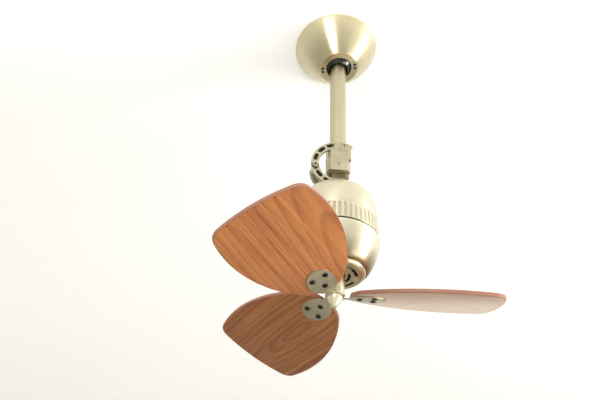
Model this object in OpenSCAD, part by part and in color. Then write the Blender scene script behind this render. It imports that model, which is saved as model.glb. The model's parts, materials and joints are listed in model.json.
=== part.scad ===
// Small three-blade ceiling fan: a short downrod, one bullet-shaped fan head
// on a tilt joint with a slotted arc, and a bowl canopy for a sloped ceiling.
// Millimetres. Origin: centre of the ceiling face of the bracket. +Z is up.
// The downrod hangs plumb, and the canopy follows the slope of the ceiling.
// Below the ceiling, heights are given from the tilt pivot and run downwards.

/* [Ceiling] */
// Slope of the ceiling that the fan hangs from, in degrees
ceiling_slope = 11; // [0:1:16]
// Compass heading of the slope, about the vertical
slope_heading = 20; // [-45:1:45]
// Distance from the ceiling to the middle of the hanger ball
ball_drop = 37; // [36:0.5:40]

/* [Canopy] */
// Outer diameter of the canopy at the ceiling
canopy_d = 135; // [128:1:150]
// Diameter of the flat ring round the hole in the canopy
neck_d = 61.2; // [60:0.2:64]
// Diameter of the hole that the rod comes out of
neck_hole_d = 40.6; // [40:0.2:43]
// Thickness of the spun canopy
canopy_wall = 1.2; // [1:0.1:2]

/* [Downrod] */
// Outer diameter of the rod
rod_d = 25.4; // [24:0.1:25.4]
// Length from the middle of the hanger ball to the tilt pivot
hang_length = 226.5; // [150:0.5:400]
// Diameter of the hanger ball
ball_d = 52; // [50:1:53]

/* [Tilt joint] */
// Diameter of the collar on the end of the rod
collar_d = 37; // [34:1:38]
// Distance between the front and back flats of the collar
collar_flats = 28; // [26:1:30]
// Radius of the row of slots in the arc
slot_row_r = 36; // [35:0.5:37]
// Width of each slot
slot_w = 6; // [5:0.5:6]
// Angle between two slots next to each other
slot_step = 26; // [22:1:30]
// Number of slots in the arc
slot_count = 7; // [5:1:7]
// Diameter of the pivot pin
pivot_d = 8; // [6:1:9]

/* [Fan head] */
// Diameter of the head at its widest, just under the split line
head_d = 122; // [116:1:126]
// Diameter of the ribbed band at its upper edge
band_top_d = 115; // [110:1:118]
// Number of ribs round the band
rib_count = 48; // [40:4:60]
// Diameter of the vented front cap
cap_d = 82.4; // [78:0.2:86]
// Diameter of the neck between the head and the blades
hub_d = 25; // [22:0.5:26]

// Lean of the head at rest, in degrees, within the play of the lock screw
head_lean = 1; // [0:0.1:2]

/* [Blades] */
// Number of blades
blade_count = 3; // [3:1:3]
// Distance from the axis to the tip of a blade
blade_tip_r = 222.7; // [205:0.1:240]
// Pitch of the blades, in degrees
blade_pitch = 19.5; // [10:0.5:22]
// Thickness of the plywood
blade_thick = 5.5; // [4:0.5:6]
// Half of the width across the two outer corners, to their centres
corner_half = 47.1; // [40:0.1:50]
// Turn of the rotor about its axis in the rest pose, in degrees
rotor_phase = -3.5; // [-60:0.1:60]

/* [Hidden] */
$fn = 72;
eps = 0.01;
round_step = 0.06;

// --- Where the groups sit -------------------------------------------------
ceiling_up = [
    -sin(slope_heading) * sin(ceiling_slope),
    cos(slope_heading) * sin(ceiling_slope),
    cos(ceiling_slope)
];
ball_at = -ball_drop * ceiling_up;
pivot_at = ball_at - [0, 0, hang_length];

// Local Z is square to the ceiling and 0 is the ceiling face
module on_ceiling() rotate([0, 0, slope_heading]) rotate([-ceiling_slope, 0, 0]) children();
// Origin in the middle of the hanger ball, turned with the heading of the slope
module at_ball() translate(ball_at) rotate([0, 0, slope_heading]) children();
// Origin on the tilt pivot
module at_pivot() translate(pivot_at) children();
// The same origin, leaning with the head
module at_head() at_pivot() rotate([0, head_lean, 0]) children();

// --- Colours --------------------------------------------------------------
brass = [0.80, 0.75, 0.58];
steel = [0.70, 0.70, 0.72];
dark = [0.12, 0.11, 0.10];
copper = [0.72, 0.42, 0.22];
timber = [0.62, 0.36, 0.20];

// --- Shared shapes --------------------------------------------------------
// A tube from z0 up to z1
module tube(outer_r, inner_r, z0, z1) translate([0, 0, z0]) difference() {
    cylinder(r = outer_r, h = z1 - z0);
    translate([0, 0, -1]) cylinder(r = inner_r, h = z1 - z0 + 2);
}
// A solid disc from z0 up to z1
module disc(r, z0, z1) translate([0, 0, z0]) cylinder(r = r, h = z1 - z0);
// Children drawn flat and seen from the front stand up in the X-Z plane,
// so that a flat height h becomes a depth -h along Y
module face_front() rotate([90, 0, 0]) children();
// A flat ring sector from angle a0 to a1
module flat_sector(inner_r, outer_r, a0, a1) intersection() {
    difference() {
        circle(r = outer_r);
        circle(r = inner_r);
    }
    polygon(concat([[0, 0]], on_arc([0, 0], 2 * outer_r, a0, a1, 6)));
}
// The same sector as a solid, between heights z0 and z1
module sector(inner_r, outer_r, a0, a1, z0, z1)
    translate([0, 0, z0]) linear_extrude(z1 - z0) flat_sector(inner_r, outer_r, a0, a1);
// A curved slot with round ends, which stand a hair inside its sides
module arc_slot(row_r, width, a0, a1, z0, z1) {
    sector(row_r - width / 2, row_r + width / 2, a0, a1, z0, z1);
    for (a = [a0, a1]) rotate([0, 0, a]) translate([row_r, 0, 0]) disc(width / 2 - round_step, z0, z1);
}
// Countersunk or button screw along Z: the head's outer face is at z = 0
module screw(head_r, head_h, shank_r, length, drive_r) difference() {
    union() {
        translate([0, 0, -head_h]) cylinder(r1 = head_r, r2 = head_r * 0.8, h = head_h);
        disc(shank_r, -length, -head_h + eps);
    }
    translate([0, 0, -head_h * 0.6]) cylinder(r = drive_r, h = head_h, $fn = 6);
}
// A quarter of a rounded curve from [r_a, z_a] to [r_b, z_b]; it leaves the
// first point along r and meets the second along z, squarer for a larger power
function quarter(r_a, z_a, r_b, z_b, power, steps) = [
    for (i = [0 : steps]) let (a = 90 * i / steps)
        [r_a + (r_b - r_a) * pow(sin(a), 2 / power), z_b + (z_a - z_b) * pow(cos(a), 2 / power)]
];
// Points on a circle from angle a0 to a1, leaving out the first few on request
function on_arc(centre, r, a0, a1, steps, first = 0) =
    [for (i = [first : steps]) let (a = a0 + (a1 - a0) * i / steps) centre + r * [cos(a), sin(a)]];
// Angle of a vector
function heading(v) = atan2(v[1], v[0]);
// The same points in the opposite order
function reversed(list) = [for (i = [len(list) - 1 : -1 : 0]) list[i]];

// === Ceiling mount ========================================================
ball_r = ball_d / 2;
seat_gap = 0.3;
pad_thick = 1.3;
seat_r = ball_r + seat_gap + pad_thick;
bowl_top = -3;
bowl_bottom = -17.4;
pad_top = -8;
plate_thick = 2.5;
plate_half = 54;
plate_width = 34;
leg_x = 31.5;
leg_width = 24;
ceiling_pcd = 88.9;
ceiling_hole_r = 2.75;
key_width = 4;
key_tip_r = ball_r - 2.6;
screw_row_r = 26.4;
screw_pair_half = 7;
screw_pair_heading = -32;

module flange_screw_places()
    for (side = [0, 180], split = [-1, 1])
        rotate([0, 0, screw_pair_heading + side + split * screw_pair_half])
            translate([screw_row_r, 0, 0]) children();

// Bent steel strip on the ceiling that carries the bowl the ball sits in
module ceiling_bracket() color(steel) on_ceiling() difference() {
    union() {
        intersection() {
            translate([-plate_half, -plate_width / 2, -plate_thick])
                cube([2 * plate_half, plate_width, plate_thick]);
            disc(plate_half, -plate_thick - 1, 1);
        }
        for (side = [-1, 1]) translate([side * leg_x - 1.25, -leg_width / 2, -ball_drop + bowl_top - 5])
            cube([2.5, leg_width, ball_drop - bowl_top + 5 - eps]);
        for (side = [-1, 1])
            translate([side * (seat_r + 2.4) - 2.2, -leg_width / 2 + 6, -ball_drop + bowl_top - 5])
            cube([4.4, leg_width - 12, 4]);
        translate([0, 0, -ball_drop]) {
            difference() {
                intersection() {
                    sphere(r = seat_r + 2.4);
                    disc(40, bowl_bottom, bowl_top);
                }
                sphere(r = seat_r);
            }
            difference() {
                tube(28.4, 22.6, bowl_bottom, bowl_bottom + 2.8);
                sphere(r = seat_r);
            }
            rotate([-10, 0, 0]) translate([-key_width / 2, key_tip_r, -1.5])
                cube([key_width, seat_r + 1 - key_tip_r, 3]);
        }
    }
    for (side = [-1, 1]) translate([side * ceiling_pcd / 2, 0, 0]) disc(ceiling_hole_r, -plate_thick - 1, 1);
    translate([0, 11, 0]) disc(4, -plate_thick - 1, 1);
    translate([0, 0, -ball_drop]) flange_screw_places() disc(1.5, bowl_bottom - 1, bowl_bottom + 4);
}

// Three-way wiring block under the plate
module terminal_block() color([0.85, 0.85, 0.80]) on_ceiling()
    translate([-12, -14.5, -plate_thick - 9]) difference() {
        cube([24, 8, 9]);
        for (i = [0 : 2]) translate([4 + 8 * i, 4, -1]) cylinder(r = 2, h = 6);
        for (i = [0 : 2]) translate([4 + 8 * i, -1, 4.5]) rotate([-90, 0, 0]) cylinder(r = 1.6, h = 10);
    }

// Rubber ring between the bowl and the ball
module seat_pad() color(dark) on_ceiling() translate([0, 0, -ball_drop]) difference() {
    intersection() {
        sphere(r = seat_r);
        disc(40, bowl_bottom, pad_top);
    }
    sphere(r = ball_r + seat_gap);
}

neck_z = -ball_drop - 19;
neck_r = neck_d / 2;
rim_r = canopy_d / 2;
skirt = 3;
bowl_low = [neck_r + 0.6, neck_z + 1.2];
bowl_high = [rim_r, -skirt];
bowl_bulge = 3.2;

// The side of the bowl is one flat arc from the ring up to the rim
bowl_chord = norm(bowl_high - bowl_low);
bowl_way = (bowl_high - bowl_low) / bowl_chord;
bowl_bend = (bowl_chord * bowl_chord / 4 + bowl_bulge * bowl_bulge) / (2 * bowl_bulge);
bowl_centre = (bowl_low + bowl_high) / 2 - [bowl_way[1], -bowl_way[0]] * (bowl_bend - bowl_bulge);
bowl_from = heading(bowl_low - bowl_centre);
bowl_to = heading(bowl_high - bowl_centre);
function bowl_side(r) = on_arc(bowl_centre, r, bowl_from, bowl_to, 16);

// Spun bowl that hides the bracket and ends in a flat ring round the rod
module canopy() color(brass) on_ceiling() difference() {
    rotate_extrude() polygon(concat(
        [[neck_hole_d / 2, neck_z + canopy_wall], [neck_hole_d / 2, neck_z], [neck_r, neck_z]],
        bowl_side(bowl_bend),
        [[rim_r, 0], [rim_r - canopy_wall, 0]],
        reversed(bowl_side(bowl_bend - canopy_wall)),
        [[neck_r - 0.8, neck_z + canopy_wall]]
    ));
    flange_screw_places() disc(1.6, neck_z - 1, neck_z + 4);
}

// Four small screws, in two pairs, through the canopy's ring into the bowl
module canopy_screws() color(dark) on_ceiling() flange_screw_places()
    translate([0, 0, neck_z - 1]) rotate([180, 0, 0]) screw(2.3, 1, 1.45, 5, 1);

// === Hanger ball and rod ==================================================
rod_r = rod_d / 2;
rod_wall = 1.6;
ball_bore_r = rod_r + 0.4;
ball_cut_top = 14;
ball_cut_bottom = -19.5;
pin_r = 3;
pin_half = 21;
running_gap = 0.05;

// Moulded ball with a bore that lets the rod sway, a key groove and a pin hole
module hanger_ball() color(dark) at_ball() difference() {
    intersection() {
        sphere(r = ball_r);
        disc(ball_d, ball_cut_bottom, ball_cut_top);
    }
    for (sway = [-7, 0, 7]) rotate([0, sway, 0]) disc(ball_bore_r, -ball_d, ball_d);
    rotate([90, 0, 90])
        sector(key_tip_r - 0.6, ball_r + 1, -38, 18, -key_width / 2 - 0.3, key_width / 2 + 0.3);
    rotate([90, 0, 0]) disc(pin_r + running_gap, -ball_d, ball_d);
}

// Cross pin that hangs the rod in the ball
module ball_pin() color(steel) at_ball() rotate([90, 0, 0]) disc(pin_r, -pin_half, pin_half);

rod_end_z = 14;

// Plumb tube from the ball down into the collar
module downrod() color(brass) difference() {
    union() at_ball() tube(rod_r, rod_r - rod_wall, rod_end_z - hang_length, 20);
    at_ball() rotate([90, 0, 0]) disc(pin_r, -ball_d, ball_d);
}

// Sleeved motor leads inside the rod
module rod_leads() color(dark) at_ball() {
    translate([5.5, 0, 0]) disc(2.6, rod_end_z + 1 - hang_length, 18);
    translate([-5.5, 0, 0]) disc(1.8, rod_end_z + 1 - hang_length, 18);
}

// === Tilt joint ===========================================================
collar_r = collar_d / 2;
ear_half = collar_flats / 2;
collar_bottom = -11;
collar_top = 28;
sleeve_top = 42;
sleeve_r = 14.6;
fork_half = 5.3;
fork_top = 12.6;
arc_in = 30;
arc_out = 41.8;
arc_back = 9.5;
arc_front = 13.6;
arc_end = 257;
first_slot = 85;
slot_half_angle = 6;
lock_angle = first_slot + 4 * slot_step;
pivot_r = pivot_d / 2;
set_screw_z = 20;

module round_body(r, flats, z0, z1) intersection() {
    disc(r, z0, z1);
    translate([-r, -flats / 2, z0]) cube([2 * r, flats, z1 - z0]);
}

// Flat arc with a row of slots, in front of the collar
module slotted_arc() face_front() difference() {
    sector(arc_in, arc_out, 60, arc_end, arc_back, arc_front);
    for (i = [2 : slot_count - 1]) rotate([0, 0, first_slot + i * slot_step])
        arc_slot(slot_row_r, slot_w, -slot_half_angle, slot_half_angle, arc_back - 1, ear_half + 1);
    // The two slots that meet the sleeve are straight
    for (i = [0, 1]) rotate([0, 0, first_slot + i * slot_step])
        translate([slot_row_r - slot_w / 2, -6, arc_back - 1]) cube([slot_w, 12, 6]);
}

// Collar on the rod, with a fork for the knuckle and the slotted arc in front
module tilt_yoke() color(brass) at_pivot() difference() {
    union() {
        round_body(collar_r, collar_flats, collar_bottom, collar_top);
        disc(sleeve_r, collar_top - 1, sleeve_top);
        slotted_arc();
        translate([8, -arc_front + 0.4, 10]) cube([collar_r - 8.4, 6, 25]);
    }
    disc(rod_r, rod_end_z, sleeve_top + 1);
    disc(9, 0, rod_end_z + 1);
    translate([-collar_r - 1, -fork_half, collar_bottom - 1])
        cube([collar_d + 2, 2 * fork_half, fork_top - collar_bottom + 1]);
    face_front() disc(pivot_r, -ear_half - 1, ear_half + 1);
    translate([0, 0, set_screw_z]) rotate([0, 90, 0]) disc(2.5, 0, collar_r + 1);
}

// Grub screw in the side of the collar, which grips the rod
module yoke_set_screw() color(dark) at_pivot() translate([0, 0, set_screw_z]) rotate([0, 90, 0])
    difference() {
        disc(2.5, rod_r, collar_r + 0.4);
        translate([0, 0, collar_r - 1.6]) cylinder(r = 1.4, h = 3, $fn = 6);
    }

// Pivot pin across the fork, with a hexagon socket in its front end
module pivot_pin() color(steel) at_pivot() face_front() difference() {
    disc(pivot_r, -ear_half - 5, ear_half + 0.2);
    translate([0, 0, ear_half - 2.2]) cylinder(r = 1.6, h = 4, $fn = 6);
}

// Hexagon nut on the back end of the pivot pin
module pivot_nut() color(dark) at_pivot() face_front() translate([0, 0, -ear_half - 4.5]) difference() {
    cylinder(r = 7.4, h = 4.5, $fn = 6);
    translate([0, 0, -1]) cylinder(r = pivot_r, h = 7);
}

arm_front = 5.6;
arm_back = 10.4;
lock_tip = arm_front - 0.3;
spacer_r = 4.6;

module at_lock() face_front() rotate([0, 0, lock_angle]) translate([slot_row_r, 0, 0]) children();

// Socket screw through one slot of the arc; its tip grips the arm behind
module lock_screw() color(dark) at_pivot() at_lock() difference() {
    union() {
        disc(5.4, arc_front, arc_front + 1.1);
        disc(4.3, arc_front + 1, arc_front + 3.8);
        disc(2.7, -lock_tip, arc_front + 0.5);
    }
    translate([0, 0, arc_front + 1.6]) cylinder(r = 2.1, h = 3, $fn = 6);
}

// Tapped spacer on the lock screw between the arc and the arm
module lock_spacer() color(steel) at_pivot() at_lock() tube(spacer_r, 2.7, -lock_tip + 0.6, arc_back);

// === Tilting head =========================================================
knuckle_half = 5;
eye_r = 12;
stub_r = 12.2;
stub_top = -24;
head_top = -44.5;
stub_flat = 9.2;
spigot_r = 9;
nut_height = 5;
lead_bore_r = 4.5;

// Knuckle in the fork, its stub on the head, and the arm behind the arc
module tilt_knuckle() color(brass) at_head() difference() {
    union() {
        face_front() disc(eye_r, -knuckle_half, knuckle_half);
        translate([-9, -knuckle_half, stub_top - 1]) cube([18, 2 * knuckle_half, -stub_top + 1]);
        difference() {
            disc(stub_r, head_top, stub_top);
            translate([-20, -20 - stub_flat, head_top - 1]) cube([40, 20, 30]);
        }
        disc(spigot_r, head_top - 2.2 - nut_height, head_top + eps);
        face_front() {
            sector(arc_in, arc_out, 186, 270, -arm_back, -arm_front);
            rotate([0, 0, 186]) translate([(arc_in + arc_out) / 2, 0, 0])
                disc((arc_out - arc_in) / 2 - round_step, -arm_back, -arm_front);
        }
    }
    face_front() disc(pivot_r + running_gap, -40, 40);
    disc(lead_bore_r, -60, stub_top + 6);
}

// Nut inside the head that holds it on the knuckle
module knuckle_nut() color(steel) at_head() difference() {
    translate([0, 0, head_top - 2.2 - nut_height]) cylinder(r = 15, h = nut_height, $fn = 6);
    disc(spigot_r, -60, -40);
}

shell = 2.2;
band_top = -97.7;
split_z = -127.7;
split_gap = 0.9;
bowl_end = -178;
head_r = head_d / 2;
band_r = band_top_d / 2;
dome_flat = 12.4;
dome_power = 2.95;
mouth_r = 43;
front_power = 1.5;

// Deep drawn dome over the motor
module rear_housing() color(brass) at_head() rotate_extrude() polygon(concat(
    [[spigot_r, head_top]],
    quarter(dome_flat, head_top, band_r, band_top, dome_power, 16),
    reversed(quarter(dome_flat, head_top - shell, band_r - shell, band_top, dome_power, 16)),
    [[spigot_r, head_top - shell]]
));

rib_depth = 1.8;
groove_w = 3.1;

// Ring of upright ribs between the dome and the split line
module ribbed_band() color(brass) at_head() difference() {
    rotate_extrude() polygon([
        [band_r - shell, band_top], [band_r, band_top], [band_r + 0.6, band_top - 1.2],
        [head_r - 1.2, split_z + 1.4], [head_r - 1.8, split_z + split_gap],
        [head_r - 6, split_z + split_gap], [head_r - 6, split_z + 8]
    ]);
    for (i = [0 : rib_count - 1]) rotate([0, 0, (i + 0.5) * 360 / rib_count])
        translate([band_r + 1.6, 0, (band_top + split_z) / 2])
            rotate([0, -5.2, 0]) translate([-rib_depth, -groove_w / 2, -12.2]) cube([6, groove_w, 24.8]);
}

// Lower shell that narrows to the vented cap
module front_housing() color(brass) at_head() rotate_extrude() polygon(concat(
    [[head_r - shell, split_z - split_gap], [head_r - 0.9, split_z - split_gap], [head_r, split_z - 1.6]],
    reversed(quarter(mouth_r, bowl_end, head_r, split_z - 2.6, front_power, 14)),
    quarter(mouth_r - shell, bowl_end, head_r - shell, split_z - 2.6, front_power, 14)
));
cap_r = cap_d / 2;
cap_face = -185.2;
cap_skirt_r = 38.5;
cap_bore_r = hub_d / 2 + 1;
vent_w = 4.2;
cap_screw_row = 31;

// Pressed cap with two rings of curved vents round the neck
module front_cap() color(brass) at_head() difference() {
    rotate_extrude() polygon([
        [cap_bore_r, cap_face], [35.2, cap_face], [38, cap_face + 0.9], [40.2, cap_face + 2.7],
        [cap_r, cap_face + 5], [cap_r, cap_face + 6.4], [cap_skirt_r, cap_face + 7.6],
        [cap_skirt_r, -166], [cap_skirt_r - 2, -166], [cap_skirt_r - 2, cap_face + 4.4],
        [34.5, cap_face + 2.2], [cap_bore_r, cap_face + 2.2]
    ]);
    for (k = [0 : 3]) {
        arc_slot(28.3, vent_w, 90 * k - 64, 90 * k - 12, cap_face - 1, cap_face + 3.5);
        arc_slot(18.6, vent_w, 90 * k - 24, 90 * k + 34, cap_face - 1, cap_face + 3.5);
    }
}

// Four studs fixed inside the cap, between its vents, that tie it to the front plate
module cap_screws() color(dark) at_head() for (k = [0 : 3]) rotate([0, 0, 7 + 90 * k])
    translate([cap_screw_row, 0, 0]) {
        disc(1.8, cap_face + 2.2, front_plate_bottom);
        disc(3, cap_face + 2.2, cap_face + 4.6);
    }

// === Motor ================================================================
shaft_r = 6;
bearing_r = 14;
rear_plate_z = -92;
front_plate_top = -130.5;
front_plate_bottom = -134;
bearing_h = 8;

// Disc with a seat for a bearing above or below it
module bearing_plate(r, z0, z1, seat_z0, seat_z1) {
    tube(r, bearing_r, z0, z1);
    tube(bearing_r + 2.5, bearing_r, seat_z0, seat_z1);
}

module rear_bearing_plate() color(steel) at_head() difference() {
    bearing_plate(band_r - shell - 0.6, rear_plate_z, rear_plate_z + 3,
        rear_plate_z, rear_plate_z + bearing_h + 1);
    for (k = [0 : 2]) rotate([0, 0, 90 + 120 * k]) translate([46, 0, 0]) disc(2.2, -100, -80);
    translate([24, 0, 0]) disc(4, -100, -80);
}

module front_bearing_plate() color(steel) at_head() difference() {
    bearing_plate(head_r - shell - 0.3, front_plate_bottom, front_plate_top,
        front_plate_bottom - bearing_h, front_plate_top);
    for (k = [0 : 2]) rotate([0, 0, 90 + 120 * k]) translate([46, 0, 0]) disc(2.2, -150, -120);
    translate([34, 0, 0]) disc(3, -150, -120);
}

// Ball bearing: two rings and the balls between them
module bearing(z0) translate([0, 0, z0]) {
    tube(bearing_r, 11.4, 0, bearing_h);
    tube(8.6, shaft_r + 0.03, 0, bearing_h);
    for (i = [0 : 7]) rotate([0, 0, 45 * i]) translate([10, 0, bearing_h / 2]) sphere(r = 1.35, $fn = 24);
    tube(11.6, 8.4, 0.8, 1.6);
}
module rear_bearing() color(steel) at_head() bearing(rear_plate_z);
module front_bearing() color(steel) at_head() bearing(front_plate_bottom - bearing_h);

stator_top = -98;
stator_bottom = -124;
stator_r = 50;
stator_bore = 26;
pole_count = 12;

// Laminated stator with its poles
module stator_core() color(steel) at_head() difference() {
    tube(stator_r, stator_bore, stator_bottom, stator_top);
    for (i = [0 : pole_count - 1]) rotate([0, 0, (i + 0.5) * 360 / pole_count])
        translate([29, -4.2, stator_bottom - 1]) cube([14, 8.4, stator_top - stator_bottom + 2]);
    for (k = [0 : 2]) rotate([0, 0, 90 + 120 * k]) translate([46, 0, 0]) disc(2.1, -130, -90);
}

// Twelve copper coils round the poles
module stator_windings() color(copper) at_head() for (i = [0 : pole_count - 1])
    rotate([0, 0, i * 360 / pole_count]) for (z = [stator_bottom - 4, stator_top])
        translate([30.5, -6, z]) cube([11.5, 12, 4]);

// Three long bolts through both bearing plates and the stator
module tie_bolts() color(steel) at_head() for (k = [0 : 2]) rotate([0, 0, 90 + 120 * k])
    translate([46, 0, 0]) {
        disc(2.1, -138, -88.9);
        disc(4, -138, front_plate_bottom);
    }

// Leads from the windings up to the knuckle
module motor_leads() color(dark) at_head() {
    translate([24, 0, 0]) disc(2.4, -98, -66);
    translate([24, 0, -66]) sphere(r = 2.7);
    translate([24, 0, -66]) rotate([0, -73, 0]) cylinder(r = 2.4, h = 25.1);
    translate([0, 0, -58.66]) sphere(r = 2.7);
    disc(2.4, -58.66, -34);
}

// Flat can with rounded sides, hung under the front bearing plate
module run_capacitor() color([0.2, 0.2, 0.22]) at_head() rotate([0, 0, 52]) translate([25, 0, 0]) {
    translate([-7, -11, -160]) cube([14, 22, 160 + front_plate_bottom]);
    for (side = [-1, 1]) translate([0, side * 11, 0]) disc(7, -160, front_plate_bottom);
}

// === Rotor ================================================================
blade_z = -214.4;
carrier_thick = 1.4;
carrier_bottom = blade_z - blade_thick / 2 - 0.6;
carrier_top = carrier_bottom + 2.4;
carrier_r = 13.7;
pad_long = 25.8;
pad_wide = 18.8;
pad_at = 42.5;
hub_r = hub_d / 2;
thread_r = 3;
finial_h = 14.7;
finial_r = 11.3;
finial_tip_r = 3.9;

// Stepped steel shaft with a threaded front end
module motor_shaft() color(steel) at_head() {
    disc(shaft_r, carrier_top, -82);
    disc(thread_r, carrier_bottom - 8, carrier_top + eps);
}

// Laminated rotor on the shaft
module rotor_core() color([0.45, 0.45, 0.48]) at_head()
    tube(25.2, shaft_r, stator_bottom + 1, stator_top - 1);

hub_top = -176;

// Turned neck on the shaft that carries the blades
module blade_hub() color(brass) at_head() difference() {
    disc(hub_r, carrier_top, hub_top);
    disc(shaft_r, -230, -170);
    translate([0, 0, -196]) rotate([0, 90, 60]) disc(2, 0, 20);
}

// Grub screw that grips the shaft
module hub_set_screw() color(dark) at_head() translate([0, 0, -196]) rotate([0, 90, 60])
    difference() {
        disc(2, shaft_r, hub_r - 0.4);
        translate([0, 0, hub_r - 2.4]) cylinder(r = 1.1, h = 4, $fn = 6);
    }

// Children lie flat on the mid-plane of blade number k, with the blade along +X
module at_blade(k) at_head() rotate([0, 0, rotor_phase + k * 360 / blade_count])
    translate([0, 0, blade_z]) rotate([blade_pitch, 0, 0]) children();
// Children at the three screws of one pad
module pad_screw_places() for (at = [[33, 0], [52, 9.8], [52, -9.8]])
    translate([at[0], at[1], 0]) children();
// Oval pad under the root of a blade
module pad() translate([pad_at, 0, pad_face - carrier_thick]) linear_extrude(carrier_thick)
    scale([pad_long / pad_wide, 1]) circle(r = pad_wide);

pad_face = -blade_thick / 2;

// Three-armed plate under the blades with an oval pad for each
module blade_carrier() color(brass) difference() {
    union() {
        at_head() disc(carrier_r, carrier_bottom, carrier_top);
        for (k = [0 : blade_count - 1]) {
            at_blade(k) pad();
            at_blade(k) translate([11.5, -7, pad_face - carrier_thick]) cube([12, 14, carrier_thick]);
        }
    }
    at_head() disc(thread_r, -240, -200);
    for (k = [0 : blade_count - 1]) at_blade(k) pad_screw_places() disc(2, -12, 2);
}

// Tapped plates on the upper side of the blades
module backing_plates() color(steel) for (k = [0 : blade_count - 1]) at_blade(k) difference() {
    translate([pad_at + 1.5, 0, 0]) disc(16.5, -pad_face, -pad_face + 2);
    pad_screw_places() disc(2, -12, 12);
}

root_r = 42.4;
root_at = [62.2, 0];
corner_r = 20.6;
side_r = 205;
blade_inner_r = 21.5;

// Petal outline of arcs that meet without a corner. The tip lies on the circle
// that the blades sweep, and a large arc on each side joins corner and root.
corner_reach = blade_tip_r - corner_r;
corner_at = [sqrt(pow(corner_reach, 2) - pow(corner_half, 2)), corner_half];
tip_angle = atan2(corner_at[1], corner_at[0]);
span = norm(corner_at - root_at);
span_way = (corner_at - root_at) / span;
side_run = (span * span + pow(side_r - root_r, 2) - pow(side_r - corner_r, 2)) / (2 * span);
side_drop = sqrt(pow(side_r - root_r, 2) - side_run * side_run);
side_centre = root_at + span_way * side_run + [span_way[1], -span_way[0]] * side_drop;
side_from = heading(root_at - side_centre);
side_to = heading(corner_at - side_centre);
upper_edge = concat(
    on_arc(root_at, root_r, 180, side_from, 6),
    on_arc(side_centre, side_r, side_from, side_to, 14, 1),
    on_arc(corner_at, corner_r, side_to, tip_angle, 8, 1),
    on_arc([0, 0], blade_tip_r, tip_angle, 0, 5, 1)
);
lower_edge = [for (p = reversed(upper_edge)) if (p[1] > 0.01) [p[0], -p[1]]];

module blade_outline() difference() {
    polygon(concat(upper_edge, lower_edge));
    circle(r = blade_inner_r);
}

// One plywood blade with its screw holes
module blade(k) color(timber) at_blade(k) difference() {
    translate([0, 0, pad_face]) linear_extrude(blade_thick) blade_outline();
    pad_screw_places() disc(2, -12, 12);
}
module blade_1() blade(0);
module blade_2() blade(1);
module blade_3() blade(2);

// Three screws through each pad and blade into the backing plate
module blade_screws() color(dark) for (k = [0 : blade_count - 1]) at_blade(k) pad_screw_places()
    translate([0, 0, pad_face - carrier_thick]) rotate([180, 0, 0]) difference() {
        union() {
            cylinder(r1 = 4.2, r2 = 3.3, h = 1.8);
            disc(2, -carrier_thick - blade_thick - 2, eps);
        }
        translate([0, 0, 0.6]) cylinder(r = 1.6, h = 2, $fn = 6);
    }

// Acorn nut that closes the front of the rotor
module finial_nut() color(brass) at_head() rotate_extrude() polygon(concat(
    [[thread_r, carrier_bottom], [finial_r - 0.3, carrier_bottom]],
    [for (i = [0 : 12]) let (t = i / 12)
        [finial_tip_r + (finial_r - finial_tip_r) * (1 - pow(t, 1.5)),
            carrier_bottom - 0.8 - (finial_h - 1.6) * t]],
    [[finial_tip_r - 0.8, carrier_bottom - finial_h]],
    [[0, carrier_bottom - finial_h], [0, carrier_bottom - 8], [thread_r, carrier_bottom - 8]]
));

ceiling_bracket();
terminal_block();
seat_pad();
canopy();
canopy_screws();
hanger_ball();
ball_pin();
downrod();
rod_leads();
tilt_yoke();
yoke_set_screw();
pivot_pin();
pivot_nut();
lock_screw();
lock_spacer();
tilt_knuckle();
knuckle_nut();
rear_housing();
ribbed_band();
front_housing();
front_cap();
cap_screws();
rear_bearing_plate();
front_bearing_plate();
rear_bearing();
front_bearing();
stator_core();
stator_windings();
tie_bolts();
motor_leads();
run_capacitor();
motor_shaft();
rotor_core();
blade_hub();
hub_set_screw();
blade_carrier();
backing_plates();
blade_1();
blade_2();
blade_3();
blade_screws();
finial_nut();
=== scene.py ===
# %% [markdown]
# # A ceiling fan with a tilting head
#
# The real fan hangs from a bowl canopy on a sloped ceiling. A short tube carries a
# head that tilts in a fork, and three wooden blades turn on the head's underside.
# The CAD model is the frame: every size and every joint comes from it. This lesson
# dresses it. Each visible metal shell is turned again as a smooth profile with real
# rolled edges, the castings and screws get softened edges, the blades get a veneered
# face and a layered edge, and each surface gets a procedural material.
#
# Lengths in this file are millimetres unless a name ends in `_m`.

# %% Load the frame
import json
import math

import bmesh
import bpy
from mathutils import Matrix, Vector

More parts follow.
